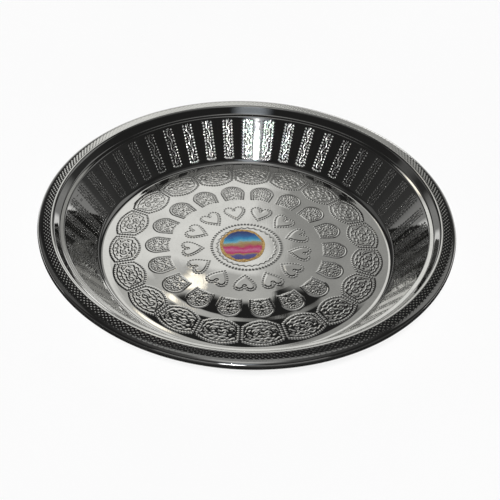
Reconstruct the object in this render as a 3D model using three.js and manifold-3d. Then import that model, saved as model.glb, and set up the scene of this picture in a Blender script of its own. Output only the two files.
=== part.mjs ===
// Embossed steel dinner plate: one pressed sheet with a rolled rim, the wire in that
// rim, and a round label on the centre. Millimetres, +Z up; the origin is the centre
// of the foot ring's underside. Angles are in degrees, anticlockwise from +X.
import * as THREE from 'three';
import { mergeVertices } from 'three/addons/utils/BufferGeometryUtils.js';
import Module from 'manifold-3d';

const wasm = await Module();
wasm.setup();

// Overall size and sheet, and how the round forms are divided
const plateDiameter = 305;
const plateHeight = 35.9;
const sheet = 0.6;
const turns = 48;
const floorTurns = 24;
const bendStep = 50;
const raisedSteps = 2;
const hollowSteps = 1;
const labelSteps = 16;

// Label
const labelWidth = 34.5;
const labelLength = 38;
const labelThickness = 0.15;
const adhesiveFilm = 0.1;
const labelShiftX = -3;
const labelShiftY = 1;

// Medallion ring and raised motifs on the floor, from the centre outwards, in shares of the plate
const ringRadius = 0.0856 * plateDiameter;
const ringWidth = 2.6;
const ringHeight = 0.6;
const relief = 0.5;
const draft = 0.5;
const heartGap = 0.0131 * plateDiameter;
const heartLength = 0.0574 * plateDiameter;
const heartWidth = heartLength;
const heartFlank = 0.285 * heartLength;
const heartCount = 13;
const heartPhase = -90;
const shellGap = 0.0272 * plateDiameter;
const shellLength = 0.0607 * plateDiameter;
const shellWidth = shellLength;
const shellMouth = 0.78 * shellWidth;
const shellCount = 18;
const shellPhase = 1;
const cartoucheGap = 0.0105 * plateDiameter;
const cartoucheLength = 0.077 * plateDiameter;
const cartoucheWidth = 0.095 * plateDiameter;
const cartoucheInnerWidth = 0.83 * cartoucheWidth;
const cartoucheBulge = 0.128 * cartoucheLength;
const cartoucheCount = 19;
const cartouchePhase = 89;

// Floor; the foot ring runs to where the wall's line meets the floor
const floorCrown = 2.5;
const footRingWidth = 7.3;
const footLap = 0.75;

// Wall and its raised panels
const cornerBend = 6.5;
const panelWidth = 8.3;
const panelMargin = 0.4;
const panelCount = 48;
const panelPhase = 91.2;

// Rim: step, riser, gently falling band, rounded shoulder, skirt and the curl round the wire
const stepWidth = 3.4;
const stepRise = 0.55;
const stepBend = 1.5;
const riserRun = 4.6;
const riserRise = 5;
const riserBend = 2;
const crestBend = 1.2;
const bandWidth = 7.1;
const bandFall = 0.9;
const shoulderBend = 3.8;
const skirtDrop = 0.2;
const curlTurn = 250;
const curlSteps = 5;

// Wire in the rolled rim
const wireDiameter = 2.8;
const wireClearance = 0.3;
const wireButtGap = 1;
const wireSides = 10;

const radians = THREE.MathUtils.degToRad;
const point = (r, z) => new THREE.Vector2(r, z);

// Radii and heights of the top face that follow from the sizes above
const heartRadius = ringRadius + ringWidth / 2 + heartGap + heartLength / 2;
const shellRadius = heartRadius + heartLength / 2 + shellGap + shellLength / 2;
const cartoucheRadius = shellRadius + shellLength / 2 + cartoucheGap + cartoucheLength / 2;
const footInner = cartoucheRadius + cartoucheLength / 2;
const centreTop = sheet + floorCrown;
const rimRadius = plateDiameter / 2;
const crest = point(rimRadius - shoulderBend - bandWidth, plateHeight);
const riserFoot = point(crest.x - riserRun, crest.y - riserRise);
const wallTop = point(riserFoot.x - stepWidth, riserFoot.y - stepRise);
const wallFoot = point(footInner + footRingWidth, sheet);
const wallLength = wallTop.distanceTo(wallFoot);
const slope = wallTop.clone().sub(wallFoot).angle();
const cornerRun = cornerBend * Math.tan(slope / 2);
const curlRadius = wireDiameter / 2 + wireClearance + sheet;
const rimCorner = point(rimRadius, crest.y - bandFall);
const wireCentre = point(rimRadius - curlRadius, rimCorner.y - shoulderBend - skirtDrop);

// The floor falls from the medallion to the foot ring as a shallow dome
const domeStart = ringRadius + ringWidth / 2;
const domeShare = (r) => (r - domeStart) / (footInner - domeStart);
const domeTop = (r) => sheet + floorCrown * (1 - domeShare(r) ** 2);
const domeSlope = (r) => Math.atan(-2 * floorCrown * domeShare(r) / (footInner - domeStart));

// Replaces one corner of an outline by an arc that meets both neighbours
function bendCorner(before, corner, after, radius) {
  const into = corner.clone().sub(before).normalize();
  const out = after.clone().sub(corner).normalize();
  const turn = Math.atan2(into.cross(out), into.dot(out));
  const side = Math.sign(turn);
  const start = corner.clone().addScaledVector(into, -radius * Math.tan(Math.abs(turn) / 2));
  const centre = start.clone().add(point(-into.y, into.x).multiplyScalar(side * radius));
  const steps = Math.ceil(Math.abs(turn) / radians(bendStep));
  return Array.from({ length: steps + 1 }, (_, k) => start.clone().rotateAround(centre, turn * k / steps));
}

// Top face of the floor, from the axis into the flat foot ring
function floorFace() {
  const heartOuter = heartRadius + heartLength / 2;
  const shellOuter = shellRadius + shellLength / 2;
  const domeRadii = [domeStart, heartOuter + shellGap / 2, shellOuter + cartoucheGap / 2, footInner];
  return [
    point(0, centreTop),
    point(ringRadius - ringWidth / 2, centreTop),
    point(ringRadius, centreTop + ringHeight),
    ...domeRadii.map((r) => point(r, domeTop(r))),
    point(footInner + (footRingWidth - cornerRun) * footLap, sheet),
  ];
}

// Top face of the wall and rim, from the foot ring to the free lip of the curl
function wallFace() {
  const footStart = point(footInner, sheet);
  const skirtEnd = point(rimRadius, wireCentre.y);
  const curlAngle = (k) => -radians(curlTurn) * k / curlSteps;
  const curl = Array.from({ length: curlSteps + 1 }, (_, k) => (
    skirtEnd.clone().rotateAround(wireCentre, curlAngle(k))
  ));
  return [
    footStart,
    ...bendCorner(footStart, wallFoot, wallTop, cornerBend),
    ...bendCorner(wallFoot, wallTop, riserFoot, stepBend),
    ...bendCorner(wallTop, riserFoot, crest, riserBend),
    ...bendCorner(riserFoot, crest, rimCorner, crestBend),
    ...bendCorner(crest, rimCorner, skirtEnd, shoulderBend),
    ...curl,
  ];
}

// Moves an open outline sideways, to the right of its direction, keeping its corners sharp
function offsetOutline(outline, distance) {
  const rights = outline.slice(1).map((p, i) => {
    const along = p.clone().sub(outline[i]).normalize();
    return point(along.y, -along.x);
  });
  return outline.map((p, i) => {
    const a = rights[Math.max(i - 1, 0)];
    const b = rights[Math.min(i, rights.length - 1)];
    return p.clone().addScaledVector(a.clone().add(b), distance / (1 + a.dot(b)));
  });
}

// Closed section of the sheet under its top face
function sheetSection(top) {
  const underside = offsetOutline(top, sheet);
  return [...underside, ...top.reverse(), underside[0]];
}

// Revolves a section about +Z, with its facets centred on the wall panels
function revolve(section, divisions) {
  const solid = new THREE.LatheGeometry(section, divisions).rotateX(Math.PI / 2);
  return solid.rotateZ(radians(panelPhase + 180 / divisions));
}

// Closed solid from a geometry, for cutting and joining
function toSolid(geometry) {
  const plain = geometry.index ? geometry.toNonIndexed() : geometry.clone();
  plain.deleteAttribute('normal');
  plain.deleteAttribute('uv');
  const merged = mergeVertices(plain);
  const corners = merged.index.array;
  const triVerts = [];
  for (let i = 0; i < corners.length; i += 3) {
    const [a, b, c] = corners.slice(i, i + 3);
    if (a !== b && b !== c && c !== a) triVerts.push(a, b, c);
  }
  return new wasm.Manifold(new wasm.Mesh({
    numProp: 3,
    vertProperties: merged.attributes.position.array,
    triVerts: Uint32Array.from(triVerts),
  }));
}

function toGeometry(solid) {
  const { vertProperties, triVerts } = solid.getMesh();
  const geometry = new THREE.BufferGeometry();
  geometry.setAttribute('position', new THREE.BufferAttribute(vertProperties, 3));
  geometry.setIndex(new THREE.BufferAttribute(triVerts, 1));
  geometry.computeVertexNormals();
  return geometry;
}

// Tapered block of an outline between two heights, drawn in by the draft at its top
function taperedBlock(outline, size, inset, bottom, top, curveSegments) {
  const block = new THREE.ExtrudeGeometry(outline, { depth: top - bottom, bevelEnabled: false, curveSegments });
  block.translate(0, 0, bottom);
  const position = block.attributes.position;
  for (let i = 0; i < position.count; i += 1) {
    const drawn = position.getZ(i) > (top + bottom) / 2 ? inset + draft : inset;
    const scale = size.clone().subScalar(2 * drawn).divide(size);
    position.setX(i, position.getX(i) * scale.x);
    position.setY(i, position.getY(i) * scale.y);
  }
  return block;
}

// Places a motif on the sheet: its X runs round the plate, its Y outwards up the slope
function seat(geometry, radius, height, tilt, angle) {
  const outwards = new THREE.Vector3(Math.cos(angle), Math.sin(angle), 0);
  const up = new THREE.Vector3(0, 0, 1);
  const along = outwards.clone().multiplyScalar(Math.cos(tilt)).addScaledVector(up, Math.sin(tilt));
  const normal = up.clone().multiplyScalar(Math.cos(tilt)).addScaledVector(outwards, -Math.sin(tilt));
  const frame = new THREE.Matrix4().makeBasis(along.clone().cross(normal), along, normal);
  frame.setPosition(outwards.multiplyScalar(radius).setZ(height));
  return geometry.applyMatrix4(frame);
}

// Presses a ring of motifs into the sheet: raised on top and hollow underneath
function pressRing(dish, motif) {
  const { outline, size, radius, height, tilt, count, phase } = motif;
  let pressed = dish;
  for (let k = 0; k < count; k += 1) {
    const angle = radians(phase + 360 * k / count);
    const raised = taperedBlock(outline, size, 0, -sheet / 2, relief, raisedSteps);
    const hollow = taperedBlock(outline, size, draft, -2 * sheet, relief - sheet, hollowSteps);
    pressed = pressed.add(toSolid(seat(raised, radius, height, tilt, angle)));
    pressed = pressed.subtract(toSolid(seat(hollow, radius, height, tilt, angle)));
  }
  return pressed;
}

function onFloor(radius) {
  return { radius, height: domeTop(radius), tilt: domeSlope(radius) };
}

// Heart of two round lobes, with its tip towards the centre of the plate
function heartOutline() {
  const lobe = heartWidth / 4;
  const lobeCentre = heartLength / 2 - lobe;
  const flank = lobeCentre - heartFlank;
  const outline = new THREE.Shape();
  outline.moveTo(0, -heartLength / 2);
  outline.quadraticCurveTo(2 * lobe, flank, 2 * lobe, lobeCentre);
  outline.absarc(lobe, lobeCentre, lobe, 0, Math.PI);
  outline.absarc(-lobe, lobeCentre, lobe, 0, Math.PI);
  outline.quadraticCurveTo(-2 * lobe, flank, 0, -heartLength / 2);
  return outline;
}

// Shell with straight sides that open outwards into a round end
function shellOutline() {
  const roundRadius = shellWidth / 2;
  const roundCentre = shellLength / 2 - roundRadius;
  const outline = new THREE.Shape();
  outline.moveTo(-shellMouth / 2, -shellLength / 2);
  outline.lineTo(shellMouth / 2, -shellLength / 2);
  outline.lineTo(roundRadius, roundCentre);
  outline.absarc(0, roundCentre, roundRadius, 0, Math.PI);
  return outline;
}

// Barrel-shaped cartouche with radial ends and bulging inner and outer edges
function cartoucheOutline() {
  const shoulder = cartoucheLength / 2 - cartoucheBulge;
  const control = cartoucheLength / 2 + cartoucheBulge;
  const outline = new THREE.Shape();
  outline.moveTo(-cartoucheInnerWidth / 2, -shoulder);
  outline.quadraticCurveTo(0, -control, cartoucheInnerWidth / 2, -shoulder);
  outline.lineTo(cartoucheWidth / 2, shoulder);
  outline.quadraticCurveTo(0, control, -cartoucheWidth / 2, shoulder);
  return outline;
}

// Wall panel that fills the straight part of the wall
function wallPanel() {
  const stepTurn = slope - Math.atan2(stepRise, stepWidth);
  const start = cornerRun + panelMargin;
  const end = wallLength - stepBend * Math.tan(stepTurn / 2) - panelMargin;
  const length = end - start;
  const middle = (start + end) / 2;
  const outline = new THREE.Shape();
  outline.moveTo(-panelWidth / 2, -length / 2);
  outline.lineTo(panelWidth / 2, -length / 2);
  outline.lineTo(panelWidth / 2, length / 2);
  outline.lineTo(-panelWidth / 2, length / 2);
  return {
    outline,
    size: new THREE.Vector2(panelWidth, length),
    radius: wallFoot.x + middle * Math.cos(slope),
    height: wallFoot.y + middle * Math.sin(slope),
    tilt: slope,
    count: panelCount,
    phase: panelPhase,
  };
}

function pressedDish() {
  const floor = toSolid(revolve(sheetSection(floorFace()), floorTurns));
  const wall = toSolid(revolve(sheetSection(wallFace()), turns));
  const motifs = [
    {
      ...onFloor(heartRadius),
      outline: heartOutline(),
      size: new THREE.Vector2(heartWidth, heartLength),
      count: heartCount,
      phase: heartPhase,
    },
    {
      ...onFloor(shellRadius),
      outline: shellOutline(),
      size: new THREE.Vector2(shellWidth, shellLength),
      count: shellCount,
      phase: shellPhase,
    },
    {
      ...onFloor(cartoucheRadius),
      outline: cartoucheOutline(),
      size: new THREE.Vector2(cartoucheWidth, cartoucheLength),
      count: cartoucheCount,
      phase: cartouchePhase,
    },
    wallPanel(),
  ];
  return toGeometry(motifs.reduce(pressRing, floor.add(wall)));
}

// Round wire bent into a ring, its two ends butted behind the plate
function rimWire() {
  const radius = wireDiameter / 2;
  const section = Array.from({ length: wireSides + 1 }, (_, k) => (
    wireCentre.clone().add(point(radius, 0).rotateAround(point(0, 0), 2 * Math.PI * k / wireSides))
  ));
  const gap = new THREE.BoxGeometry(wireButtGap, 2 * wireDiameter, 2 * wireDiameter);
  gap.translate(0, wireCentre.x, wireCentre.y);
  return toGeometry(toSolid(revolve(section, turns)).subtract(toSolid(gap)));
}

// Oval label, stuck a little off centre on the flat field inside the medallion ring
function centreLabel() {
  const outline = new THREE.Shape();
  outline.absellipse(0, 0, labelWidth / 2, labelLength / 2, 0, 2 * Math.PI);
  const label = new THREE.ExtrudeGeometry(outline, {
    depth: labelThickness,
    bevelEnabled: false,
    curveSegments: labelSteps,
  });
  return label.translate(labelShiftX, labelShiftY, centreTop + adhesiveFilm);
}

const polishedSteel = new THREE.MeshStandardMaterial({ color: 0xc4c7c9, metalness: 1, roughness: 0.16 });
const drawnWire = new THREE.MeshStandardMaterial({ color: 0x8f9396, metalness: 1, roughness: 0.45 });
const printedFilm = new THREE.MeshStandardMaterial({ color: 0xb98a4a, metalness: 0, roughness: 0.4 });

function piece(name, geometry, material) {
  const mesh = new THREE.Mesh(geometry, material);
  mesh.name = name;
  return mesh;
}

const plate = new THREE.Group();
plate.add(piece('pressed_dish', pressedDish(), polishedSteel));
plate.add(piece('rim_wire', rimWire(), drawnWire));
plate.add(piece('centre_label', centreLabel(), printedFilm));

export default plate;
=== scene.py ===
# Embossed steel dinner plate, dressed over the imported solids. Sizes in mm, the scene in metres.
import math

import bmesh
import bpy
import numpy as np
from mathutils import Matrix, Vector


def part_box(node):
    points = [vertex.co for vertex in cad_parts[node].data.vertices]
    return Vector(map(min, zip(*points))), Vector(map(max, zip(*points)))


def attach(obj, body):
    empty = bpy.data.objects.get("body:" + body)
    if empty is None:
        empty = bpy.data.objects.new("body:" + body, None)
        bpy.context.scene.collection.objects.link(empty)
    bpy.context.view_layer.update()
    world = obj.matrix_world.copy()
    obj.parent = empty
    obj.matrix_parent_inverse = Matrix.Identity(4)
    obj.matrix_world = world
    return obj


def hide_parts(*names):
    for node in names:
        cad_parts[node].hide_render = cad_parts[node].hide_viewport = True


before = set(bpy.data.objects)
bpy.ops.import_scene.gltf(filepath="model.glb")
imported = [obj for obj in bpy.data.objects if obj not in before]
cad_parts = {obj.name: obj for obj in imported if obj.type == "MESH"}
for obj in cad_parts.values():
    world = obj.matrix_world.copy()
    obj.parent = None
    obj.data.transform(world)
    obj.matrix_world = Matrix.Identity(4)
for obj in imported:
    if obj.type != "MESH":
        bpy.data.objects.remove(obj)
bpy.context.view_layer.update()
scene = bpy.context.scene
mm = 0.001
mergeGap = 1e-7

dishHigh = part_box("pressed_dish")[1]
wireLow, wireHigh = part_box("rim_wire")
labelLow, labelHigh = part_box("centre_label")
rimInset = 0.04
rimRadius = dishHigh.x / mm - rimInset  # true circle just inside the many-sided rim
rimTop = dishHigh.z / mm

# plain form of the pressed sheet: radii run in from the rim, heights down from its top
dish = dict(sheet=0.6, crown=2.5, medallion=27.4, footInner=rimRadius - 50.0, wallFoot=rimRadius - 42.7,
            wallTopIn=18.9, wallTopDown=5.55, stepIn=15.8, stepDown=5.0, crestIn=11.2, bandFall=0.9,
            cornerBend=6.5, stepBend=1.5, riserBend=2.0, crestBend=3.2, shoulderSweep=9.0,
            shoulderKnee=28, shoulderBend=2.4, stepShare=0.45)
wallFoot = (dish["wallFoot"], dish["sheet"])
wallTop = (rimRadius - dish["wallTopIn"], rimTop - dish["wallTopDown"])
riserFoot = (rimRadius - dish["stepIn"], rimTop - dish["stepDown"])
crest = (rimRadius - dish["crestIn"], rimTop)
wallSlope = math.atan2(wallTop[1] - wallFoot[1], wallTop[0] - wallFoot[0])
wallLength = math.hypot(wallTop[0] - wallFoot[0], wallTop[1] - wallFoot[1])
cornerRun = dish["cornerBend"] * math.tan(wallSlope / 2)

# fall of the floor in degrees by radius: less steep between the two outer rings of motifs
footLap = 1.0
footBend = 0.8
floorSamples = 800
floorEnd = dish["footInner"] + footLap
floorFall = [(dish["medallion"], 0), (50, 1.7), (58, 2.2), (74, 2.8), (76.2, 1.4), (79.2, 1.4),
             (81.5, 2.8), (100, 3.1), (floorEnd - footBend, 3.2), (floorEnd, 0)]
floorRadii = np.linspace(dish["medallion"], floorEnd, floorSamples)
floorDrop = np.cumsum(np.interp(floorRadii, *zip(*floorFall)))


def floorTop(r):  # shallow dome from the flat medallion down to the foot ring
    return dish["sheet"] + dish["crown"] * (1 - np.interp(r, floorRadii, floorDrop) / floorDrop[-1])


# slight unevenness of the pressed floor: turn, wave length, height and start of each wave
floorWaves = [(15, 37, 0.026, 0.4), (72, 29, 0.02, 1.9), (128, 44, 0.03, 3.1), (164, 23, 0.014, 5.0)]
waveMargin = 14  # run over which they rise, from as far off the centre, and fade at the floor's end


def floorWave(x, y):
    r = np.hypot(x, y)
    lift = np.zeros(x.shape)
    for turn, length, height, start in floorWaves:
        along = x * math.cos(math.radians(turn)) + y * math.sin(math.radians(turn))
        lift += height * np.sin(2 * math.pi * along / length + start)
    return lift * ease((floorEnd - r) / waveMargin) * ease((r - waveMargin) / waveMargin)


def arcCorner(before, corner, after, radius, turnStep=6):
    a, b, c = Vector(before), Vector(corner), Vector(after)
    into, out = (b - a).normalized(), (c - b).normalized()
    turn = math.atan2(into.x * out.y - into.y * out.x, into.dot(out))
    start = b - into * radius * math.tan(abs(turn) / 2)
    centre = start + Vector((-into.y, into.x)) * math.copysign(radius, turn)
    steps = max(2, round(abs(math.degrees(turn)) / turnStep))
    turns = [Matrix.Rotation(turn * k / steps, 2) for k in range(steps + 1)]
    return [tuple(centre + rotation @ (start - centre)) for rotation in turns]


def stretch(a, b, spacing):  # points between a and b, both left out
    count = max(1, round(math.dist(a, b) / spacing))
    return [tuple(Vector(a).lerp(Vector(b), k / count)) for k in range(1, count)]


def under(path, depth):  # the same path on the other face of the sheet
    out = []
    for i, p in enumerate(path):
        along = (Vector(path[min(i + 1, len(path) - 1)]) - Vector(path[max(i - 1, 0)])).normalized()
        out.append((p[0] + along.y * depth, p[1] - along.x * depth))
    return out


def newPiece(name, bm, node):
    mesh = bpy.data.meshes.new(name)
    bm.to_mesh(mesh)
    bm.free()
    mesh.polygons.foreach_set("use_smooth", [True] * len(mesh.polygons))
    piece = bpy.data.objects.new(name, mesh)
    scene.collection.objects.link(piece)
    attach(piece, "root")
    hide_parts(node)
    return piece


# section of (radius, height) spun into one sector, which is then repeated
def spinSection(name, section, sectors, steps, closed=True, start=0.0, sweep=360.0,
                node="pressed_dish"):
    bm = bmesh.new()
    turn = Matrix.Rotation(math.radians(start), 3, "Z")
    verts = [bm.verts.new(turn @ Vector((r * mm, 0, z * mm))) for r, z in section]
    edges = [bm.edges.new(pair) for pair in zip(verts, verts[1:])]
    if closed:
        edges.append(bm.edges.new((verts[-1], verts[0])))
    pitch = math.radians(sweep) / sectors
    bmesh.ops.spin(bm, geom=verts + edges, cent=(0, 0, 0), axis=(0, 0, 1), angle=pitch, steps=steps)
    sector = bm.verts[:] + bm.edges[:] + bm.faces[:]
    for k in range(1, sectors):
        copy = bmesh.ops.duplicate(bm, geom=sector)["geom"]
        bmesh.ops.rotate(bm, verts=[g for g in copy if isinstance(g, bmesh.types.BMVert)], cent=(0, 0, 0),
                         matrix=Matrix.Rotation(pitch * k, 3, "Z"))
    bmesh.ops.remove_doubles(bm, verts=bm.verts, dist=mergeGap)
    if sweep < 360:  # close the two cut ends
        bmesh.ops.holes_fill(bm, edges=[e for e in bm.edges if e.is_boundary], sides=0)
    bmesh.ops.recalc_face_normals(bm, faces=bm.faces)
    return newPiece(name, bm, node)


def readPoints(piece):
    flat = np.empty(len(piece.data.vertices) * 3)
    piece.data.vertices.foreach_get("co", flat)
    return flat.reshape(-1, 3) / mm


def writePoints(piece, points, sharpAngle=70):
    piece.data.vertices.foreach_set("co", (points * mm).ravel())
    piece.data.set_sharp_from_angle(angle=math.radians(sharpAngle))
    piece.data.update()


def markRelief(piece, share):  # 0 on the plain sheet, 1 on raised detail, which is less polished
    attribute = piece.data.attributes.new("relief", "FLOAT", "POINT")
    attribute.data.foreach_set("value", np.clip(share, 0, 1))


# relief helpers: u runs round the plate, v outwards, both from the middle of one motif
def foldRing(r, a, ring):
    pitch = 2 * math.pi / ring["count"]
    turn = (a - math.radians(ring["phase"]) + pitch / 2) % pitch - pitch / 2
    return r * np.sin(turn), r * np.cos(turn) - ring["radius"]


lineSpacing = 0.25  # between the points that stand for a line
edgeSpacing = 0.35
scroll = dict(points=26, closing=0.78)


def dome(d, radius, power=1.3):
    return np.clip(1 - (d / radius) ** 2, 0, 1) ** power


def ease(x):
    x = np.clip(x, 0, 1)
    return x * x * (3 - 2 * x)


def nearest(u, v, path):
    best = np.full(u.shape, np.inf)
    for x, y in path:
        np.minimum(best, (u - x) ** 2 + (v - y) ** 2, out=best)
    return np.sqrt(best)


def densePath(points, spacing):
    out = []
    for a, b in zip(points, points[1:]):
        count = max(1, math.ceil(math.dist(a, b) / spacing))
        out += [tuple(Vector(a).lerp(Vector(b), k / count)) for k in range(count)]
    return out + [points[-1]]


def beadSpots(points, pitch, offset=0.5, spacing=0.05):  # evenly along a path
    path = densePath(points, spacing)
    lengths = np.concatenate([[0], np.cumsum([math.dist(a, b) for a, b in zip(path, path[1:])])])
    count = max(1, round(lengths[-1] / pitch))
    marks = [(k + offset) * lengths[-1] / count for k in range(count + (1 if offset == 0 else 0))]
    return [path[int(np.searchsorted(lengths, m).clip(0, len(path) - 1))] for m in marks]


def scrollPath(x, y, radius, turns, start):  # closes in on its middle
    path = []
    for t in np.linspace(0, 1, scroll["points"]):
        reach, turn = radius * (1 - scroll["closing"] * t), math.radians(start - 360 * turns * t)
        path.append((x + reach * math.cos(turn), y + reach * math.sin(turn)))
    return path


def leaf(u, v, x, y, length, width, lean):
    c, s = math.cos(math.radians(lean)), math.sin(math.radians(lean))
    du, dv = u - x, v - y
    return dome(np.hypot((du * c + dv * s) / (length / 2), (dv * c - du * s) / (width / 2)), 1.0)


# centre: flat field, scalloped line and the ring of beads round the label
medallion = dict(beadRadius=26.1, beads=65, beadAlong=0.72, beadAcross=1.05, beadHeight=0.3, seat=0.03,
                 seatHalf=1.6, scallops=30, scallopRadius=22.6, scallopDepth=1.1, scallopHeight=0.12,
                 scallopSize=0.6, outer=29.3, columns=9)
# radii of its rows: plain field, scallops and beads (from, to, spacing), outer edge, underside
medallionRows = dict(field=(0.0, 2.5, 5, 7.5, 10, 12.5, 15, 17, 18.5), scallops=(19.5, 25.0, 0.33),
                     beads=(25.0, 27.4, 0.24), edge=(27.9, 28.6),
                     under=(27.4, 26.8, 26.1, 25.4, 24.6, 20, 12, 0))


def buildMedallion():
    m, rows = medallion, medallionRows
    radii = list(rows["field"]) + list(np.arange(*rows["scallops"])) + list(np.arange(*rows["beads"]))
    radii += [*rows["edge"], m["outer"]]
    top = [(r, float(floorTop(r))) for r in radii]
    bottom = [(r, float(floorTop(r)) - dish["sheet"]) for r in (m["outer"], *rows["under"])]
    piece = spinSection("dish_medallion", top + bottom, m["beads"], m["columns"], closed=False)
    p = readPoints(piece)
    r, a = np.hypot(p[:, 0], p[:, 1]), np.arctan2(p[:, 1], p[:, 0])
    upper = p[:, 2] > floorTop(r) - dish["sheet"] / 2
    pitch = 2 * math.pi / m["beads"]
    turn = (a + pitch / 2) % pitch - pitch / 2
    spread = np.hypot(r * turn / m["beadAlong"], (r - m["beadRadius"]) / m["beadAcross"])
    seat = m["seat"] * ease(1 - abs(r - m["beadRadius"]) / m["seatHalf"])
    wave = m["scallopRadius"] - m["scallopDepth"] * abs(np.cos(a * m["scallops"] / 2))
    line = m["scallopHeight"] * dome(r - wave, m["scallopSize"])
    p[:, 2] += np.where(upper, np.maximum(m["beadHeight"] * dome(spread, 1.0) + seat, line), seat)
    p[:, 2] += floorWave(p[:, 0], p[:, 1])
    writePoints(piece, p)
    return piece


# ring of hearts: smooth cushions outlined by beads, tips to the middle
hearts = dict(count=13, phase=-90, radius=40.16, length=15.9, width=15.9, flank=4.5, flankPoints=13,
              lobePoints=14, lobeStart=0.2, beadPitch=2.05, beadSize=0.72, beadHeight=0.21, seat=0.02,
              seatOut=1.4, seatSlope=1.2, cushion=0.12, cushionIn=0.95, cushionSlope=1.1,
              inner=29.3, outer=52.6, columns=84, rowSpacing=0.33, margin=1.4)


def heartPath():
    h = hearts
    lobe = h["width"] / 4
    lobeY = h["length"] / 2 - lobe
    tip, flank = Vector((0, -h["length"] / 2)), Vector((2 * lobe, lobeY - h["flank"]))
    side = Vector((2 * lobe, lobeY))
    path = []
    for k in range(h["flankPoints"]):
        t = k / (h["flankPoints"] - 1)
        path.append(tuple((1 - t) ** 2 * tip + 2 * t * (1 - t) * flank + t * t * side))
    for t in np.linspace(h["lobeStart"], math.pi, h["lobePoints"]):
        path.append((lobe + lobe * math.cos(t), lobeY + lobe * math.sin(t)))
    return path


def heartRelief(r, a):
    h = hearts
    u, v = foldRing(r, a, h)
    u = abs(u)
    path = heartPath()
    lobe = h["width"] / 4
    lobeY = h["length"] / 2 - lobe
    flankX, flankY = zip(*path[:h["flankPoints"]])
    inFlank = u < np.interp(v, flankY, flankX, left=-1)
    inside = np.where(v < lobeY, inFlank, np.hypot(u - lobe, v - lobeY) < lobe)
    depth = np.where(inside, 1, -1) * nearest(u, v, densePath(path, edgeSpacing))
    seat = h["seat"] * ease((depth + h["seatOut"]) / h["seatSlope"])
    cushion = h["cushion"] * ease((depth - h["cushionIn"]) / h["cushionSlope"])
    beads = np.zeros(u.shape)
    for x, y in beadSpots(path, h["beadPitch"], 0):
        np.maximum(beads, dome(np.hypot(u - x, v - y), h["beadSize"]), out=beads)
    return seat + cushion, h["beadHeight"] * beads


# ring of shells: raised edge, beads inside it, scrolls and leaves in the middle
shells = dict(count=18, phase=1, radius=66.46, length=17.6, width=17.6, mouth=13.8, endStart=0.12,
              endPoints=12, edgeSize=0.55, edgeHeight=0.2, beadPitch=1.9, beadIn=1.75, beadSize=0.64,
              beadHeight=0.27, leafHeight=0.18, scrollSize=0.5, eyeSize=0.8, eyeRise=1.4, seat=0.06,
              seatOut=1.0, mouthOut=0.8, seatSlope=1.2, inner=52.6, outer=77.2, columns=70,
              rowSpacing=0.36, margin=1.0)
# scrolls by centre, radius, turns and start; leaves by place, length, width and lean
shellScrolls = [(4.0, 1.7, 2.1, 1.3, 200), (3.7, -4.3, 1.8, 1.2, 160)]
shellLeaves = [(0, -6.3, 3.6, 1.3, 90), (0, -2.0, 4.0, 1.3, 90), (0, 2.7, 3.6, 1.4, 90),
               (1.7, 4.9, 2.6, 1.1, 62), (3.7, 5.1, 2.2, 1.0, 35), (6.0, -1.4, 2.2, 1.0, 82),
               (1.7, -0.7, 2.4, 1.0, 65), (1.6, -3.7, 2.2, 1.0, 115), (1.6, -7.4, 2.2, 1.0, 60),
               (5.5, -6.3, 1.8, 0.9, 78), (3.5, -7.4, 2.0, 1.0, 20), (5.2, -8.2, 1.4, 0.9, 40),
               (0, 5.7, 1.3, 1.3, 0), (1.5, 2.3, 1.5, 0.9, 120), (5.9, 3.5, 1.4, 0.9, 120),
               (3.9, -1.4, 1.5, 0.9, 10)]


def shellPath(inset):
    s = shells
    end = s["width"] / 2 - inset
    path = [(s["mouth"] / 2 - inset, -s["length"] / 2), (end, 0)]
    turns = np.linspace(s["endStart"], math.pi / 2, s["endPoints"])
    return path + [(end * math.cos(t), end * math.sin(t)) for t in turns]


def shellRelief(r, a):
    s = shells
    u, v = foldRing(r, a, s)
    u = abs(u)
    edge = shellPath(0)
    half = s["width"] / 2
    sideX = np.interp(v, [-half, 0], [s["mouth"] / 2, half])
    inside = (v > -half) & np.where(v < 0, u < sideX, np.hypot(u, v) < half)
    depth = np.where(inside, 1, -1) * nearest(u, v, densePath(edge, edgeSpacing))
    seat = s["seat"] * ease((depth + s["seatOut"]) / s["seatSlope"])
    seat = seat * ease((v + half + s["mouthOut"]) / s["seatSlope"])
    fine = s["edgeHeight"] * dome(nearest(u, v, densePath(edge, lineSpacing)), s["edgeSize"])
    for x, y in beadSpots(shellPath(s["beadIn"]), s["beadPitch"]):
        np.maximum(fine, s["beadHeight"] * dome(np.hypot(u - x, v - y), s["beadSize"]), out=fine)
    for x, y, radius, turns, start in shellScrolls:
        curl = densePath(scrollPath(x, y, radius, turns, start), lineSpacing)
        np.maximum(fine, s["leafHeight"] * dome(nearest(u, v, curl), s["scrollSize"]), out=fine)
        eye = dome(np.hypot(u - x, v - y), s["eyeSize"])
        np.maximum(fine, s["eyeRise"] * s["leafHeight"] * eye, out=fine)
    for x, y, length, width, lean in shellLeaves:
        np.maximum(fine, s["leafHeight"] * leaf(u, v, x, y, length, width, lean), out=fine)
    return seat, fine


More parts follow.
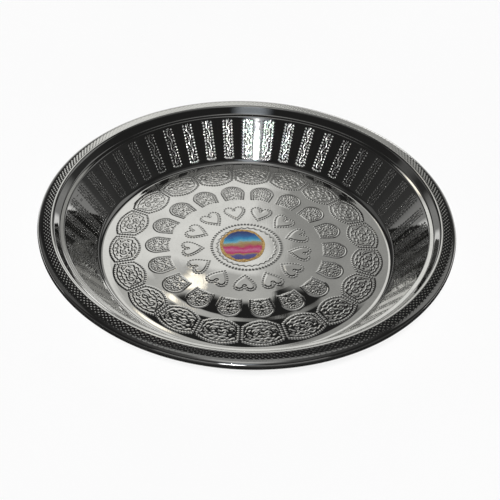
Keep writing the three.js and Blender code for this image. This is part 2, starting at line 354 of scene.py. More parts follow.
# ring of cartouches: beaded border and wavy inner ridge round scrolls, waved lines and leaves
cartouches = dict(count=19, phase=89, radius=90.67, length=22.0, width=29.6, innerWidth=25.2, bulge=4.6,
                  arcPoints=10, shoulderInset=0.75, controlInset=1.25, edgeSpacing=0.4, beadPitch=2.05,
                  beadSize=0.82, beadHeight=0.24, seat=0.05, seatOut=1.2, seatSlope=1.4, ridgeIn=2.5,
                  ridgeSize=0.6, ridgeHeight=0.15, ridgeWave=0.3, ridgeSpacing=0.3, wavePitch=5.2,
                  lineSize=0.62, lineEnd=7.6, linePoints=20, leafHeight=0.17, fillIn=0.4, fillSlope=0.5,
                  inner=77.2, outer=floorEnd, columns=66, rowSpacing=0.42, margin=1.2)
# one half of the fill, turned about the middle for the other: scrolls, lines by height and swing, leaves
cartoucheScrolls = [(4.1, 0.5, 2.9, 1.55, 185), (8.6, -2.6, 1.5, 1.1, 70)]
cartoucheLines = [(5.3, 0.55), (-5.2, -0.55)]
cartoucheLeaves = [(0, 0, 2.2, 1.5, 40), (8.5, 2.3, 3.4, 1.3, -38), (9.9, -0.2, 2.2, 1.2, 70),
                   (1.6, 2.9, 3.0, 1.2, 12), (1.9, -3.0, 3.4, 1.3, -10), (5.4, -3.6, 2.6, 1.2, 18),
                   (1.8, 7.2, 3.0, 1.2, -6), (1.6, -7.1, 2.8, 1.2, 6)]


def cartouchePath(inset):
    c = cartouches
    shoulder = c["length"] / 2 - c["bulge"] - inset * c["shoulderInset"]
    control = c["length"] / 2 + c["bulge"] - inset * c["controlInset"]
    inner, outer = c["innerWidth"] / 2 - inset, c["width"] / 2 - inset
    path = []
    for half, y, pull in ((inner, -shoulder, -control), (outer, shoulder, control)):
        arc = [(half * t, (1 - t * t) * (y + pull) / 2 + t * t * y)
               for t in np.linspace(0, 1, c["arcPoints"])]
        path += arc if y < 0 else arc[::-1]
    return path


def cartoucheRelief(r, a):
    c = cartouches
    u, v = foldRing(r, a, c)
    turned = np.where(u < 0, -v, v)
    u = abs(u)
    edge = cartouchePath(0)
    shoulder = c["length"] / 2 - c["bulge"]
    sideX = np.interp(v, [-shoulder, shoulder], [c["innerWidth"] / 2, c["width"] / 2])
    innerX, innerY = zip(*edge[:c["arcPoints"]])
    outerX, outerY = zip(*edge[:c["arcPoints"] - 1:-1])
    limit = np.where(v < 0, -np.interp(u, innerX, innerY), np.interp(u, outerX, outerY))
    inside = (u < sideX) & (abs(v) < limit)
    depth = np.where(inside, 1, -1) * nearest(u, v, densePath(edge, c["edgeSpacing"]))
    seat = c["seat"] * ease((depth + c["seatOut"]) / c["seatSlope"])
    ridge = densePath(cartouchePath(c["ridgeIn"]), c["ridgeSpacing"])
    waved = []
    for k in range(1, len(ridge) - 1):  # shifted to and fro across its own run
        along = (Vector(ridge[k + 1]) - Vector(ridge[k - 1])).normalized()
        shift = c["ridgeWave"] * math.cos(2 * math.pi * c["ridgeSpacing"] * k / c["wavePitch"])
        waved.append((ridge[k][0] + along.y * shift, ridge[k][1] - along.x * shift))
    fine = c["ridgeHeight"] * dome(nearest(u, v, waved), c["ridgeSize"])
    for x, y in beadSpots(edge, c["beadPitch"]):
        np.maximum(fine, c["beadHeight"] * dome(np.hypot(u - x, v - y), c["beadSize"]), out=fine)
    fill = np.zeros(u.shape)
    lines = [scrollPath(*curl) for curl in cartoucheScrolls]
    for y, swing in cartoucheLines:
        lines.append([(x, y + swing * math.sin(2 * math.pi * x / c["wavePitch"]))
                      for x in np.linspace(0, c["lineEnd"], c["linePoints"])])
    for line in lines:
        np.maximum(fill, dome(nearest(u, turned, densePath(line, lineSpacing)), c["lineSize"]), out=fill)
    for x, y, length, width, lean in cartoucheLeaves:
        np.maximum(fill, leaf(u, turned, x, y, length, width, lean), out=fill)
    within = ease((depth - c["ridgeIn"] - c["fillIn"]) / c["fillSlope"])
    np.maximum(fine, c["leafHeight"] * fill * within, out=fine)
    return seat, fine


# floor bands: rows on the underside, and the thinnest row on top
underRows = 13
leastRow = 0.05


def buildFloorBand(name, ring, relief):  # fine rows over the motifs and a little past them
    reach = ring["length"] / 2 + ring["margin"]
    low = max(ring["radius"] - reach, ring["inner"])
    high = min(ring["radius"] + reach, ring["outer"])
    rows = round((high - low) / ring["rowSpacing"])
    radii = [ring["inner"]] if low > ring["inner"] else []
    radii += [low + (high - low) * k / rows for k in range(rows + 1)]
    if high < ring["outer"] - leastRow:
        radii.append(ring["outer"])
    top = [(r, float(floorTop(r))) for r in radii]
    width = ring["outer"] - ring["inner"]
    back = [ring["outer"] - width * k / underRows for k in range(underRows + 1)]
    bottom = [(r, float(floorTop(r)) - dish["sheet"]) for r in back]
    piece = spinSection(name, top + bottom, ring["count"], ring["columns"], start=ring["phase"])
    p = readPoints(piece)
    r, a = np.hypot(p[:, 0], p[:, 1]), np.arctan2(p[:, 1], p[:, 0])
    upper = p[:, 2] > floorTop(r) - dish["sheet"] / 2
    seat, fine = relief(r, a)
    p[:, 2] += np.where(upper, seat + fine, seat) + floorWave(p[:, 0], p[:, 1])
    writePoints(piece, p)
    print(name, len(piece.data.polygons), "faces")
    return piece


# wall: upright strips with a beaded line down each side and a vine between
strips = dict(count=48, phase=91.2, half=3.25, footGap=1.0, topGap=1.9, beadRows=13, beadAlong=0.88,
              beadAcross=0.75, beadHeight=0.3, footBeads=(0, 1.9), footBeadUp=0.4, footBeadSize=0.8,
              reach=4.2, stripColumns=36, gapColumns=4, underShare=0.7, nearDull=0.1)
vine = dict(foot=1.8, pitch=11.4, swing=1.1, height=0.2, stemSize=0.45, bends=6, bladePower=0.62,
            fadeIn=1.6, fadeOut=0.6, fadeRun=0.8)
stripFoot = cornerRun + strips["footGap"]
stripTop = wallLength - strips["topGap"]
beadPitchWall = (stripTop - stripFoot) / strips["beadRows"]
vineFoot = stripFoot + vine["foot"]
# leaves in the bends of the vine: place from the stem, length, width and lean
vineLeaves = [(1.25, 0.0, 2.1, 1.2, 35), (0.7, -1.7, 1.5, 0.9, 65), (1.5, 1.8, 1.4, 0.9, 15),
              (-0.9, 2.7, 1.3, 0.9, 120)]
# the wall is built in quarters, each from its first angle
wallQuarters = [("dish_wall_far_left", 90), ("dish_wall_near_left", 180), ("dish_wall_near_right", 270),
                ("dish_wall_far_right", 0)]


def roundTop(d, power=0.8):  # fuller than a dome, with a crisp foot
    return np.clip(1 - d * d, 0, 1) ** power


def stripRelief(u, v):
    s = strips
    w = abs(u)
    fine = np.zeros(u.shape)
    for k in range(s["beadRows"]):
        y = stripFoot + (k + 0.5) * beadPitchWall
        spread = np.hypot((w - s["half"]) / s["beadAcross"], (v - y) / s["beadAlong"])
        np.maximum(fine, s["beadHeight"] * roundTop(spread), out=fine)
    for x in s["footBeads"]:  # beads that close the foot of the strip
        spread = np.hypot(w - x, v - stripFoot - s["footBeadUp"]) / s["footBeadSize"]
        np.maximum(fine, s["beadHeight"] * roundTop(spread), out=fine)
    begun = ease((v - stripFoot - vine["fadeIn"]) / vine["fadeRun"])
    height = vine["height"] * begun * ease((stripTop + vine["fadeOut"] - v) / vine["fadeRun"])
    stem = vine["swing"] * np.sin(2 * math.pi * (v - vineFoot) / vine["pitch"])
    np.maximum(fine, height * roundTop((u - stem) / vine["stemSize"]), out=fine)
    for k in range(vine["bends"]):  # left and right in turn
        y = vineFoot + (k + 0.5) * vine["pitch"] / 2
        side = -1 if k % 2 == 0 else 1
        for x, dy, length, width, lean in vineLeaves:
            blade = leaf(u, v, side * x, y + dy, length, width, side * lean)
            np.maximum(fine, height * blade ** vine["bladePower"], out=fine)
    return fine


def buildWall():
    s = strips
    start = (floorEnd, dish["sheet"])
    bend = arcCorner(start, wallFoot, wallTop, dish["cornerBend"])
    stepStart = tuple(Vector(wallTop).lerp(Vector(riserFoot), dish["stepShare"]))
    upperBend = arcCorner(wallFoot, wallTop, riserFoot, dish["stepBend"], turnStep=10)
    top = [start] + stretch(start, bend[0], spacing=1.4) + bend
    top += stretch(bend[-1], upperBend[0], spacing=0.36) + upperBend + [stepStart]
    coarse = [start] + stretch(start, bend[0], spacing=2.0) + bend[::2]
    coarse += stretch(bend[-1], upperBend[0], spacing=1.2) + upperBend + [stepStart]
    section = top + under(coarse, dish["sheet"])[::-1]
    perStrip = s["stripColumns"] + s["gapColumns"]
    perQuarter = s["count"] // len(wallQuarters)
    pieces = []
    for name, first in wallQuarters:
        offset = (s["phase"] + 180 / s["count"] - first) % (360 / s["count"])
        piece = spinSection(name, section, perQuarter, perStrip, start=first + offset, sweep=90)
        p = readPoints(piece)
        r, z, a = np.hypot(p[:, 0], p[:, 1]), p[:, 2], np.arctan2(p[:, 1], p[:, 0])
        pitch = 2 * math.pi / s["count"]
        middle = np.round((a - math.radians(s["phase"])) / pitch) * pitch + math.radians(s["phase"])
        share = (a - middle) / pitch * perStrip  # column number from the middle of its strip
        edge = s["stripColumns"] / 2
        gapHalf = s["gapColumns"] / 2
        reach = np.arcsin(s["reach"] / r)
        inStrip = np.arcsin(np.clip(share / edge, -1, 1) * s["reach"] / r)
        inGap = np.sign(share) * (reach + (abs(share) - edge) / gapHalf * (pitch / 2 - reach))
        a = middle + np.where(abs(share) <= edge, inStrip, inGap)
        along = (r - wallFoot[0]) * math.cos(wallSlope) + (z - wallFoot[1]) * math.sin(wallSlope)
        above = (z - wallFoot[1]) * math.cos(wallSlope) - (r - wallFoot[0]) * math.sin(wallSlope)
        fine = stripRelief(r * np.sin(a - middle), along)
        lift = np.where(above > -dish["sheet"] / 2, fine, s["underShare"] * fine)
        r, z = r - lift * math.sin(wallSlope), z + lift * math.cos(wallSlope)
        p = np.stack([r * np.cos(a), r * np.sin(a), z], axis=1)
        writePoints(piece, p)
        dullness = s["nearDull"] if "near" in name else 1  # near strips are set shinier than far ones
        markRelief(piece, fine / s["beadHeight"] * dullness)
        print(name, len(piece.data.polygons), "faces")
        pieces.append(piece)
    return pieces, stepStart


# rim: plain step and riser, knurled band, smooth shoulder rolled round the wire
knurl = dict(count=240, cellHeight=2.7, depth=0.065, start=1.6, cutFrom=0.5, cutRun=0.48, startRun=0.4,
             endRun=0.5, perSector=4, columnsEach=8, shoulderRows=8, rowsPerUnderRow=6)
roll = dict(curlRadius=2.3, curlTurn=250, curlSteps=28, sectors=24, columns=20)


def shoulderPath():  # wide sweep off the falling band, then a tight bend into the skirt
    fall, knee = math.atan2(dish["bandFall"], dish["crestIn"]), math.radians(dish["shoulderKnee"])
    bends = [dict(radius=dish["shoulderSweep"], start=fall, end=knee, turnStep=2),
             dict(radius=dish["shoulderBend"], start=knee, end=math.pi / 2, turnStep=5)]
    width = sum(bend["radius"] * (math.sin(bend["end"]) - math.sin(bend["start"])) for bend in bends)
    r = rimRadius - width
    path = [(r, rimTop - (r - crest[0]) * math.tan(fall))]
    for bend in bends:
        radius, start, sweep = bend["radius"], bend["start"], bend["end"] - bend["start"]
        r, z = path[-1]
        steps = round(math.degrees(sweep) / bend["turnStep"])
        for k in range(1, steps + 1):
            t = start + sweep * k / steps
            out, down = math.sin(t) - math.sin(start), math.cos(start) - math.cos(t)
            path.append((r + radius * out, z - radius * down))
    return path


def roundWire(centre, radius, angle):
    return centre[0] + radius * math.cos(angle), centre[1] + radius * math.sin(angle)


def buildRim(stepStart):
    pieces = []
    wireCentre = (rimRadius - roll["curlRadius"], (wireLow.z + wireHigh.z) / 2 / mm)
    shoulder = shoulderPath()
    band = Vector(shoulder[0]) - Vector(crest)
    knurlStart = tuple(Vector(crest) + band.normalized() * knurl["start"])
    knurlEnd = tuple(Vector(shoulder[0]))

    top = [stepStart] + stretch(stepStart, riserFoot, spacing=0.8)[:-1]
    top += arcCorner(stepStart, riserFoot, crest, dish["riserBend"], turnStep=5)
    top += stretch(top[-1], crest, spacing=0.9)[:-1]
    top += arcCorner(riserFoot, crest, knurlEnd, dish["crestBend"]) + [knurlStart]
    section = top + under(top, dish["sheet"])[::-1]
    pieces.append(spinSection("rim_step", section, roll["sectors"], roll["columns"]))
    writePoints(pieces[-1], readPoints(pieces[-1]))

    top = [knurlStart] + stretch(knurlStart, knurlEnd, spacing=0.33) + shoulder[:knurl["shoulderRows"]]
    coarse = top[::knurl["rowsPerUnderRow"]] + [top[-1]]
    section = top + under(coarse, dish["sheet"])[::-1]
    sectors, columns = knurl["count"] // knurl["perSector"], knurl["columnsEach"] * knurl["perSector"]
    piece = spinSection("rim_knurl", section, sectors, columns)
    p = readPoints(piece)
    r, z, a = np.hypot(p[:, 0], p[:, 1]), p[:, 2], np.arctan2(p[:, 1], p[:, 0])
    upper = z > np.interp(r, *zip(*top)) - dish["sheet"] / 2
    across = (r - knurlStart[0]) / knurl["cellHeight"]
    around = a * knurl["count"] / (2 * math.pi)
    slantOne = abs((around + across) % 1 - 0.5) * 2
    slantTwo = abs((around - across) % 1 - 0.5) * 2
    cut = ease((np.maximum(slantOne, slantTwo) - knurl["cutFrom"]) / knurl["cutRun"])
    ends = ease((r - knurlStart[0]) / knurl["startRun"]) * ease((top[-1][0] - r) / knurl["endRun"])
    p[:, 2] -= np.where(upper, knurl["depth"] * cut * ends, 0)
    writePoints(piece, p)
    pieces.append(piece)

    outer = shoulder[knurl["shoulderRows"] - 1:]
    for k in range(roll["curlSteps"] + 1):
        t = -math.radians(roll["curlTurn"]) * k / roll["curlSteps"]
        outer.append(roundWire(wireCentre, roll["curlRadius"], t))
    section = outer + under(outer, dish["sheet"])[::-1]
    pieces.append(spinSection("rim_roll", section, roll["sectors"], roll["columns"]))
    writePoints(pieces[-1], readPoints(pieces[-1]))
    return pieces, wireCentre


# wire inside the rolled edge, its two ends butted at the far side
wire = dict(sides=16, gap=1.0, gapAngle=90, sectors=12, columns=20)


def buildWire(wireCentre):
    radius = (wireHigh.z - wireLow.z) / 2 / mm
    section = [roundWire(wireCentre, radius, t)
               for t in np.linspace(0, 2 * math.pi, wire["sides"], endpoint=False)]
    gap = math.degrees(wire["gap"] / wireCentre[0])
    start = wire["gapAngle"] + gap / 2
    return spinSection("wire_ring", section, wire["sectors"], wire["columns"], start=start,
                       sweep=360 - gap, node="rim_wire")


# label: thin oval film with a lifted, slightly waved edge
label = dict(columns=96, rings=12, share=0.985, ripple=0.012, ripples=7, wave=0.05, waves=3,
             waveStart=0.7, wavePower=6)


def buildLabel():
    centre = (labelLow + labelHigh) / 2
    half = (labelHigh - labelLow) / 2
    bm = bmesh.new()
    bmesh.ops.create_circle(bm, segments=label["columns"], radius=1.0, cap_ends=True)
    for k in range(label["rings"]):
        middle = [f for f in bm.faces if len(f.verts) > 4]
        bmesh.ops.inset_region(bm, faces=middle, thickness=1.0 / (label["rings"] + 1))
    lower = list(bm.faces)
    lifted = bmesh.ops.extrude_face_region(bm, geom=lower, use_keep_orig=True)
    for v in [g for g in lifted["geom"] if isinstance(g, bmesh.types.BMVert)]:
        v.co.z += 1
    bmesh.ops.recalc_face_normals(bm, faces=bm.faces)
    for v in bm.verts:
        reach, turn = math.hypot(v.co.x, v.co.y), math.atan2(v.co.y, v.co.x)
        size = label["share"] * (1 + label["ripple"] * math.sin(label["ripples"] * turn) * reach)
        swell = 1 + math.sin(label["waves"] * turn + label["waveStart"])
        lift = label["wave"] * mm * reach ** label["wavePower"] * swell
        height = labelLow.z if v.co.z < 0.5 else labelHigh.z
        x, y = half.x * v.co.x * size, half.y * v.co.y * size
        v.co = Vector((centre.x + x, centre.y + y, height + lift))
    piece = newPiece("label_film", bm, "centre_label")
    writePoints(piece, readPoints(piece), sharpAngle=50)
    return piece


steelPieces = [buildMedallion()]
steelPieces.append(buildFloorBand("dish_hearts", hearts, heartRelief))
steelPieces.append(buildFloorBand("dish_shells", shells, shellRelief))
steelPieces.append(buildFloorBand("dish_cartouches", cartouches, cartoucheRelief))
wallPieces, stepStart = buildWall()
rimPieces, wireCentre = buildRim(stepStart)
steelPieces += wallPieces + rimPieces
wirePiece = buildWire(wireCentre)
labelPiece = buildLabel()
print("pieces built", sum(len(o.data.polygons) for o in steelPieces), "steel faces")


# materials
def newMaterial(name):
    material = bpy.data.materials.new(name)
    material.use_nodes = True
    tree = material.node_tree
    tree.nodes.clear()
    out = tree.nodes.new("ShaderNodeOutputMaterial")
    shader = tree.nodes.new("ShaderNodeBsdfPrincipled")
    tree.links.new(shader.outputs["BSDF"], out.inputs["Surface"])
    coords = tree.nodes.new("ShaderNodeTexCoord")
    return material, tree, shader, coords.outputs["Object"]


def mapped(tree, source, scale, turn=(0, 0, 0), shift=(0, 0, 0)):
    node = tree.nodes.new("ShaderNodeMapping")
    node.inputs["Location"].default_value = shift
    node.inputs["Scale"].default_value = scale
    node.inputs["Rotation"].default_value = turn
    tree.links.new(source, node.inputs["Vector"])
    return node.outputs["Vector"]


def noise(tree, vector, scale, detail=3.0, rough=0.5):
    node = tree.nodes.new("ShaderNodeTexNoise")
    node.inputs["Scale"].default_value = scale
    node.inputs["Detail"].default_value = detail
    node.inputs["Roughness"].default_value = rough
    tree.links.new(vector, node.inputs["Vector"])
    return node.outputs["Fac"]


def ramp(tree, fac, stops):
    node = tree.nodes.new("ShaderNodeValToRGB")
    while len(node.color_ramp.elements) < len(stops):
        node.color_ramp.elements.new(0.5)
    for element, (place, colour) in zip(node.color_ramp.elements, stops):
        element.position = place
        element.color = (*colour, 1) if len(colour) == 3 else (colour[0], colour[0], colour[0], 1)
    tree.links.new(fac, node.inputs["Fac"])
    return node.outputs["Color"]


def bump(tree, height, strength, distance):
    node = tree.nodes.new("ShaderNodeBump")
    node.inputs["Strength"].default_value = strength
    node.inputs["Distance"].default_value = distance
    tree.links.new(height, node.inputs["Height"])
    return node.outputs["Normal"]


def mix(tree, a, b, mode="MULTIPLY", share=1.0):
    node = tree.nodes.new("ShaderNodeMix")
    node.data_type = "RGBA"
    node.blend_type = mode
    node.inputs["Factor"].default_value = share
    tree.links.new(a, node.inputs["A"])
    tree.links.new(b, node.inputs["B"])
    return node.outputs["Result"]


def worked(tree, operation, *values):
    node = tree.nodes.new("ShaderNodeMath")
    node.operation = operation
    for slot, value in zip(node.inputs, values):
        if isinstance(value, (int, float)):
            slot.default_value = value
        else:
            tree.links.new(value, slot)
    return node.outputs["Value"]


def fade(tree, value, start, end):  # 1 up to start, 0 from end
    node = tree.nodes.new("ShaderNodeMapRange")
    node.interpolation_type = "SMOOTHSTEP"
    for socket, number in (("From Min", start), ("From Max", end), ("To Min", 1), ("To Max", 0)):
        node.inputs[socket].default_value = number
    tree.links.new(value, node.inputs["Value"])
    return node.outputs["Result"]


def polishedSteel():
    material, tree, shader, place = newMaterial("polishedSteel")
    shader.inputs["Metallic"].default_value = 1.0
    cloud = noise(tree, place, scale=35, detail=4)
    grain = noise(tree, mapped(tree, place, scale=(900, 900, 900)), scale=1.0, detail=2)
    tint = ramp(tree, cloud, [(0.35, (0.605, 0.602, 0.582)), (0.65, (0.68, 0.677, 0.655))])
    specks = ramp(tree, grain, [(0.3, (0.93, 0.93, 0.93)), (0.6, (1.0, 1.0, 1.0))])
    tree.links.new(mix(tree, tint, specks), shader.inputs["Base Color"])
    smears = noise(tree, place, scale=60, detail=5, rough=0.6)
    haze = ramp(tree, smears, [(0.35, (0.016,)), (0.7, (0.034,))])
    raised = tree.nodes.new("ShaderNodeAttribute")
    raised.attribute_name = "relief"
    dull = ramp(tree, raised.outputs["Fac"], [(0.1, (0.0,)), (0.6, (0.34,))])
    tree.links.new(mix(tree, haze, dull, "ADD"), shader.inputs["Roughness"])
    stretched = mapped(tree, place, scale=(2600, 90, 300), turn=(0, 0, 0.6))
    scratch = noise(tree, stretched, scale=1.0, detail=2)
    tree.links.new(bump(tree, scratch, strength=0.04, distance=0.0001), shader.inputs["Normal"])
    return material


def drawnWire():
    material, tree, shader, place = newMaterial("drawnWire")
    shader.inputs["Metallic"].default_value = 1.0
    streak = noise(tree, mapped(tree, place, scale=(300, 300, 2500)), scale=1.0)
    tint = ramp(tree, streak, [(0.3, (0.32, 0.33, 0.34)), (0.7, (0.46, 0.47, 0.48))])
    tree.links.new(tint, shader.inputs["Base Color"])
    tree.links.new(ramp(tree, streak, [(0.3, (0.35,)), (0.7, (0.55,))]), shader.inputs["Roughness"])
    tree.links.new(bump(tree, streak, strength=0.2, distance=0.0002), shader.inputs["Normal"])
    return material


def printedFilm():
    material, tree, shader, place = newMaterial("printedFilm")
    shader.inputs["Roughness"].default_value = 0.32
    centre = (labelLow + labelHigh) / 2
    half = (labelHigh - labelLow) / 2
    plane = mapped(tree, place, scale=(1 / half.x, 1 / half.y, 0),
                   shift=(-centre.x / half.x, -centre.y / half.y, 0))  # label's own plane, -1 to 1
    wobble = noise(tree, plane, scale=1.6, detail=2)
    split = tree.nodes.new("ShaderNodeSeparateXYZ")
    tree.links.new(plane, split.inputs["Vector"])
    slant = worked(tree, "MULTIPLY", split.outputs["X"], 0.14)  # bands rise to the right
    level = worked(tree, "SUBTRACT", split.outputs["Y"], slant)
    height = worked(tree, "MULTIPLY_ADD", wobble, 0.5, level)  # bands bend with a soft wobble
    share = tree.nodes.new("ShaderNodeMapRange")
    share.inputs["From Min"].default_value = -0.75
    share.inputs["From Max"].default_value = 1.25
    tree.links.new(height, share.inputs["Value"])
    bands = ramp(tree, share.outputs["Result"], [
        (0.0, (0.04, 0.04, 0.15)), (0.19, (0.07, 0.07, 0.22)), (0.24, (0.32, 0.19, 0.07)),
        (0.28, (0.38, 0.015, 0.11)), (0.36, (0.46, 0.13, 0.23)), (0.44, (0.38, 0.015, 0.10)),
        (0.50, (0.30, 0.17, 0.07)), (0.57, (0.30, 0.26, 0.14)), (0.62, (0.14, 0.36, 0.45)),
        (0.69, (0.025, 0.22, 0.40)), (0.78, (0.015, 0.09, 0.25)), (0.88, (0.015, 0.03, 0.12))])
    radius = tree.nodes.new("ShaderNodeVectorMath")
    radius.operation = "LENGTH"
    tree.links.new(plane, radius.inputs[0])
    drift = noise(tree, plane, scale=2.4, detail=2)  # inner edge of the gold border wanders
    ragged = worked(tree, "MULTIPLY_ADD", drift, 0.22, radius.outputs["Value"])
    border = ramp(tree, ragged, [(0.95, (0.0,)), (0.98, (1.0,))])
    flecks = noise(tree, plane, scale=9)
    gold = ramp(tree, flecks, [(0.35, (0.26, 0.14, 0.04)), (0.65, (0.48, 0.32, 0.11))])
    blend = tree.nodes.new("ShaderNodeMix")
    blend.data_type = "RGBA"
    tree.links.new(border, blend.inputs["Factor"])
    tree.links.new(bands, blend.inputs["A"])
    tree.links.new(gold, blend.inputs["B"])
    tree.links.new(blend.outputs["Result"], shader.inputs["Base Color"])
    creases = noise(tree, plane, scale=5)
    tree.links.new(bump(tree, creases, strength=0.15, distance=0.0003), shader.inputs["Normal"])
    return material


def paleFloor():
    material, tree, shader, place = newMaterial("paleFloor")
    shader.inputs["Roughness"].default_value = 0.9
    patches = noise(tree, place, scale=3, detail=2)
    tree.links.new(ramp(tree, patches, [(0.4, (0.92,)), (0.6, (0.94,))]), shader.inputs["Base Color"])
    out = next(n for n in tree.nodes if n.type == "OUTPUT_MATERIAL")
    glow = tree.nodes.new("ShaderNodeEmission")
    rays = tree.nodes.new("ShaderNodeLightPath")
    direct = worked(tree, "MAXIMUM", rays.outputs["Is Camera Ray"], rays.outputs["Is Glossy Ray"])
    seen = worked(tree, "MULTIPLY", direct, 0.7)  # share of its own light, for an even pale ground
    pick = tree.nodes.new("ShaderNodeMixShader")
    tree.links.new(seen, pick.inputs["Fac"])
    tree.links.new(shader.outputs["BSDF"], pick.inputs[1])
    tree.links.new(glow.outputs["Emission"], pick.inputs[2])
    clear = tree.nodes.new("ShaderNodeBsdfTransparent")  # nothing seen from under the floor
    sides = tree.nodes.new("ShaderNodeNewGeometry")
    sheetMix = tree.nodes.new("ShaderNodeMixShader")
    tree.links.new(sides.outputs["Backfacing"], sheetMix.inputs["Fac"])
    tree.links.new(pick.outputs["Shader"], sheetMix.inputs[1])
    tree.links.new(clear.outputs["BSDF"], sheetMix.inputs[2])
    tree.links.new(sheetMix.outputs["Shader"], out.inputs["Surface"])
    return material


steel = polishedSteel()
for piece in steelPieces:
    piece.data.materials.append(steel)
wirePiece.data.materials.append(drawnWire())
labelPiece.data.materials.append(printedFilm())
print("materials set")


# camera fitted to the rim and the floor's edge in the photograph
view = dict(elevation=40.49, distance=838.1, aim=(0, 0, 0.6), focalPixels=1113.6, pixels=500,
            centre=(246.21, 249.11), roll=2.42, sensor=36)


def swing(a, b, angle):  # turns two axes within their plane, a towards b
    return a * math.cos(angle) + b * math.sin(angle), b * math.cos(angle) - a * math.sin(angle)


def placeCamera():
    e = math.radians(view["elevation"])
    aim = Vector(view["aim"]) * mm
    spot = aim + Vector((0, -math.cos(e), math.sin(e))) * view["distance"] * mm
    forward = (aim - spot).normalized()
    right = Vector((1, 0, 0))
    up = right.cross(forward)
    yaw = math.atan((view["centre"][0] - view["pixels"] / 2) / view["focalPixels"])
    pitch = -math.atan((view["centre"][1] - view["pixels"] / 2) / view["focalPixels"])
    right, forward = swing(right, forward, yaw)
    up, forward = swing(up, forward, pitch)
    right, up = swing(right, up, math.radians(view["roll"]))
    lens = bpy.data.cameras.new("plateCamera")
    lens.sensor_width = view["sensor"]
    lens.lens = view["sensor"] * view["focalPixels"] / view["pixels"]
    lens.clip_start, lens.clip_end = 0.01, 50
    camera = bpy.data.objects.new("plateCamera", lens)
    camera.matrix_world = Matrix((
        (right.x, up.x, -forward.x, spot.x), (right.y, up.y, -forward.y, spot.y),
        (right.z, up.z, -forward.z, spot.z), (0, 0, 0, 1)))
    scene.collection.objects.link(camera)
    scene.camera = camera


placeCamera()


# stage: pale floor, a dim room with soft boxes round it, two lamps beside the camera
stage = dict(floorSize=12.0, floorDown=0.0002)
# the first lamp lights the label and the floor, the second is only a shine in the metal
lamps = [dict(name="keyLight", azimuth=265, elevation=48, angle=12, power=3.4, inMetal=False),
         dict(name="smallLight", azimuth=265.6, elevation=42.1, angle=1.4, power=1.3, inMetal=True)]
# dark card on the floor before the plate, seen only in the metal
flag = dict(start=165, end=375, radii=(0.158, 5.5), height=0.0005, steps=60)
# brightness of the room by elevation, 0 at the horizon and 1 overhead
roomLevels = [(0.0, (0.10,)), (0.06, (0.09,)), (0.155, (0.05,)), (0.23, (0.035,)), (0.31, (0.03,)),
              (0.38, (0.02,)), (0.6, (0.02,)), (0.74, (0.06,)), (0.87, (0.09,)), (0.93, (0.45,)),
              (1.0, (0.7,))]
# soft boxes by azimuth, elevation, half sizes, soft edge (degrees) and colour
softBoxes = [
    dict(azimuth=90, elevation=0, across=84, upright=2.6, soft=3.2, colour=(0.88, 0.88, 0.88)),
    dict(azimuth=90, elevation=6, across=53, upright=5, soft=11, colour=(0.27, 0.27, 0.27)),
    dict(azimuth=83, elevation=18, across=8, upright=26.3, soft=2.2, colour=(0.38, 0.38, 0.37)),
    dict(azimuth=96, elevation=20, across=9, upright=26.4, soft=1.4, colour=(0.6, 0.6, 0.585)),
    dict(azimuth=96.5, elevation=32.5, across=7, upright=9, soft=4, colour=(0.98, 0.98, 0.96)),
    dict(azimuth=96.6, elevation=44.8, across=0.6, upright=0.6, soft=1.4, colour=(2.1, 1.97, 1.7)),
    dict(azimuth=78, elevation=12, across=6, upright=4, soft=2, colour=(1.5, 1.5, 1.5)),
    dict(azimuth=90, elevation=70, across=40, upright=6, soft=6, colour=(0.28, 0.28, 0.28)),
    dict(azimuth=-94.4, elevation=43, across=0.5, upright=3, soft=13, colour=(0.42, 0.44, 0.47)),
    dict(azimuth=-90, elevation=64, across=5, upright=8, soft=13, colour=(0.37, 0.40, 0.44)),
    dict(azimuth=-94.5, elevation=33, across=4.5, upright=3.5, soft=3, colour=(7, 7, 7.3)),
    dict(azimuth=-90, elevation=19, across=40, upright=11, soft=5, colour=(0.15, 0.15, 0.15)),
    dict(azimuth=-90, elevation=31, across=42, upright=3.5, soft=4, colour=(0.32, 0.32, 0.32)),
    dict(azimuth=38, elevation=40, across=14, upright=9, soft=8, colour=(0.24, 0.24, 0.24)),
    dict(azimuth=150, elevation=37, across=14, upright=10, soft=8, colour=(0.1, 0.1, 0.1)),
]


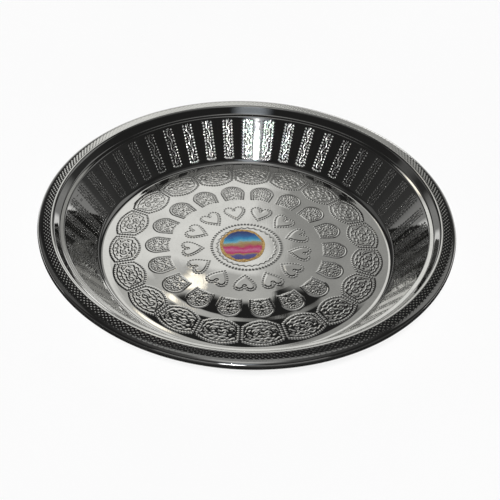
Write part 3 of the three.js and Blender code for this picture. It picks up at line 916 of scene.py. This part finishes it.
def buildStage():
    bm = bmesh.new()
    bmesh.ops.create_grid(bm, x_segments=4, y_segments=4, size=stage["floorSize"] / 2)
    mesh = bpy.data.meshes.new("studioFloor")
    bm.to_mesh(mesh)
    bm.free()
    floor = bpy.data.objects.new("studioFloor", mesh)
    floor.data.materials.append(paleFloor())
    scene.collection.objects.link(floor)
    floor.location.z = -stage["floorDown"]
    for lamp in lamps:
        sun = bpy.data.lights.new(lamp["name"], "SUN")
        sun.energy = lamp["power"]
        sun.angle = math.radians(lamp["angle"])
        key = bpy.data.objects.new(lamp["name"], sun)
        az, el = math.radians(lamp["azimuth"]), math.radians(lamp["elevation"])
        towards = Vector((math.cos(az) * math.cos(el), math.sin(az) * math.cos(el), math.sin(el)))
        key.rotation_euler = towards.to_track_quat("Z", "Y").to_euler()
        key.visible_glossy, key.visible_diffuse = lamp["inMetal"], not lamp["inMetal"]
        scene.collection.objects.link(key)
    bm = bmesh.new()
    start = math.radians(flag["start"])
    sweep = math.radians(flag["end"]) - start
    ray = Vector((math.cos(start), math.sin(start), 0))
    verts = [bm.verts.new(ray * r + Vector((0, 0, flag["height"]))) for r in flag["radii"]]
    edge = bm.edges.new(verts)
    bmesh.ops.spin(bm, geom=verts + [edge], cent=(0, 0, 0), axis=(0, 0, 1), angle=sweep,
                   steps=flag["steps"])
    mesh = bpy.data.meshes.new("darkCard")
    bm.to_mesh(mesh)
    bm.free()
    card = bpy.data.objects.new("darkCard", mesh)
    material, tree, shader, place = newMaterial("darkCloth")
    shader.inputs["Roughness"].default_value = 0.95
    weave = noise(tree, place, scale=40)
    tree.links.new(ramp(tree, weave, [(0.4, (0.012,)), (0.6, (0.02,))]), shader.inputs["Base Color"])
    card.data.materials.append(material)
    scene.collection.objects.link(card)
    card.visible_camera = card.visible_diffuse = card.visible_shadow = card.visible_transmission = False


def buildWorld():
    world = bpy.data.worlds.new("studioRoom")
    scene.world = world
    world.use_nodes = True
    tree = world.node_tree
    tree.nodes.clear()
    out = tree.nodes.new("ShaderNodeOutputWorld")
    room = tree.nodes.new("ShaderNodeBackground")
    white = tree.nodes.new("ShaderNodeBackground")
    white.inputs["Color"].default_value = (1, 1, 1, 1)
    coords = tree.nodes.new("ShaderNodeTexCoord")
    split = tree.nodes.new("ShaderNodeSeparateXYZ")
    tree.links.new(coords.outputs["Generated"], split.inputs["Vector"])
    elevation = worked(tree, "DEGREES", worked(tree, "ARCSINE", split.outputs["Z"]))
    azimuth = worked(tree, "DEGREES", worked(tree, "ARCTAN2", split.outputs["Y"], split.outputs["X"]))
    light = ramp(tree, worked(tree, "DIVIDE", elevation, 90.0), roomLevels)
    for box in softBoxes:
        aside = worked(tree, "ABSOLUTE", worked(tree, "SUBTRACT", azimuth, box["azimuth"]))
        above = worked(tree, "ABSOLUTE", worked(tree, "SUBTRACT", elevation, box["elevation"]))
        patch = worked(tree, "MULTIPLY", fade(tree, aside, box["across"], box["across"] + box["soft"]),
                       fade(tree, above, box["upright"], box["upright"] + box["soft"]))
        light = mix(tree, light, ramp(tree, patch, [(0.0, (0.0,)), (1.0, box["colour"])]), "LIGHTEN")
    tree.links.new(light, room.inputs["Color"])
    rays = tree.nodes.new("ShaderNodeLightPath")
    pick = tree.nodes.new("ShaderNodeMixShader")
    tree.links.new(rays.outputs["Is Camera Ray"], pick.inputs["Fac"])
    tree.links.new(room.outputs["Background"], pick.inputs[1])
    tree.links.new(white.outputs["Background"], pick.inputs[2])
    tree.links.new(pick.outputs["Shader"], out.inputs["Surface"])


buildStage()
buildWorld()
scene.view_settings.view_transform = "Standard"
print("stage and light set")
